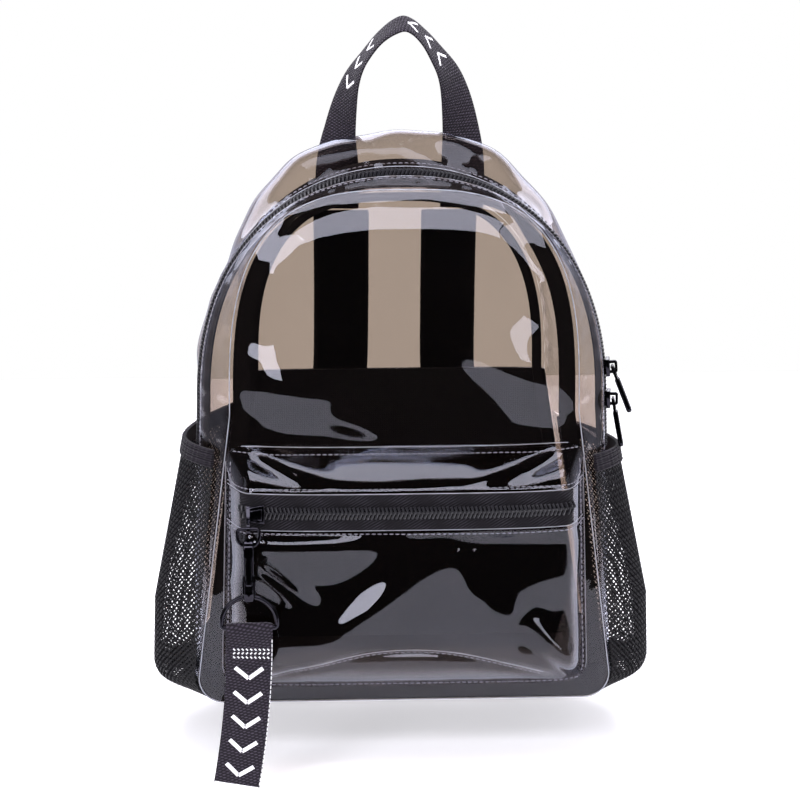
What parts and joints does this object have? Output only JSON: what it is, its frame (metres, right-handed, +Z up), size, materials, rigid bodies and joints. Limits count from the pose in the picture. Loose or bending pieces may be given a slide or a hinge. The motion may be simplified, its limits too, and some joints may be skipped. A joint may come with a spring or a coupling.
{
  "type": "clear panel backpack",
  "caption": "Small domed backpack of clear smoked film with black zips, mesh side pockets, a zipped front pocket with a hanging fob, webbing grab handle and padded shoulder straps.",
  "frame": {"origin": "middle of the underside of the grab handle's crest, where the bag hangs", "axes": "+Z up, +X to the right as the front is seen, the front faces -Y and the shoulder straps are on +Y"},
  "size_m": [0.2814, 0.209, 0.4028],
  "materials": {
    "smoked_film": "clear glossy vinyl film with a light brown-grey smoke tint",
    "black_cloth": "plain woven black polyester",
    "black_mesh": "open knitted black mesh",
    "black_webbing": "woven black webbing and ribbed elastic",
    "zip_tape": "black knitted tape with a moulded coil chain",
    "black_plastic": "moulded black acetal",
    "black_metal": "cast zinc with glossy black plating"
  },
  "bodies": {
    "bag": {"front_panel": "smoked_film", "back_panel_upper": "smoked_film", "back_panel_lower": "black_cloth", "gusset_front": "smoked_film", "gusset_back": "smoked_film", "main_zip": "zip_tape", "front_binding": "black_cloth", "back_binding": "black_cloth", "side_panel_left": "smoked_film", "side_panel_right": "smoked_film", "base_panel": "black_cloth", "pocket_upper": "smoked_film", "pocket_lower": "smoked_film", "pocket_end_left": "smoked_film", "pocket_end_right": "smoked_film", "pocket_zip": "zip_tape", "mesh_pocket_left": "black_mesh", "mesh_pocket_right": "black_mesh", "mesh_hem_left": "black_webbing", "mesh_hem_right": "black_webbing", "handle": "black_webbing", "strap_pad_left": "black_cloth", "strap_pad_right": "black_cloth", "strap_web_left": "black_webbing", "strap_web_right": "black_webbing", "strap_adjuster_left": "black_plastic", "strap_adjuster_right": "black_plastic", "main_slider_upper": "black_metal", "main_slider_lower": "black_metal", "pocket_slider": "black_metal"},
    "fob": {"pull_ring": "black_metal", "hook_body": "black_metal"},
    "gate": {"hook_gate": "black_metal"},
    "swivel": {"swivel_ring": "black_metal", "tag": "black_webbing"},
    "pull_upper": {"main_pull_upper": "black_metal"},
    "pull_lower": {"main_pull_lower": "black_metal"}
  },
  "joints": [
    {"name": "fob_swing", "type": "hinge", "parent": "bag", "child": "fob", "pos_m": [-0.091, -0.1546, -0.2515], "axis": [-1, 0, 0], "range_deg": [0, 150]},
    {"name": "ring_swivel", "type": "hinge", "parent": "fob", "child": "swivel", "pos_m": [-0.091, -0.1546, -0.2823], "axis": [0, 0, 1], "range_deg": [-50, 32]},
    {"name": "gate_lever", "type": "hinge", "parent": "fob", "child": "gate", "pos_m": [-0.091, -0.1587, -0.2809], "axis": [-1, 0, 0], "range_deg": [0, 18], "stiffness_Nm_per_rad": 0.004, "springref_deg": -17.19},
    {"name": "pull_upper_swing", "type": "hinge", "parent": "bag", "child": "pull_upper", "pos_m": [0.11174, -0.08383, -0.18055], "axis": [-0.151, -0.9884, -0.0126], "range_deg": [0, 150]},
    {"name": "pull_lower_swing", "type": "hinge", "parent": "bag", "child": "pull_lower", "pos_m": [0.11242, -0.0839, -0.19892], "axis": [-0.1641, -0.9864, -0.0025], "range_deg": [0, 25]}
  ]
}
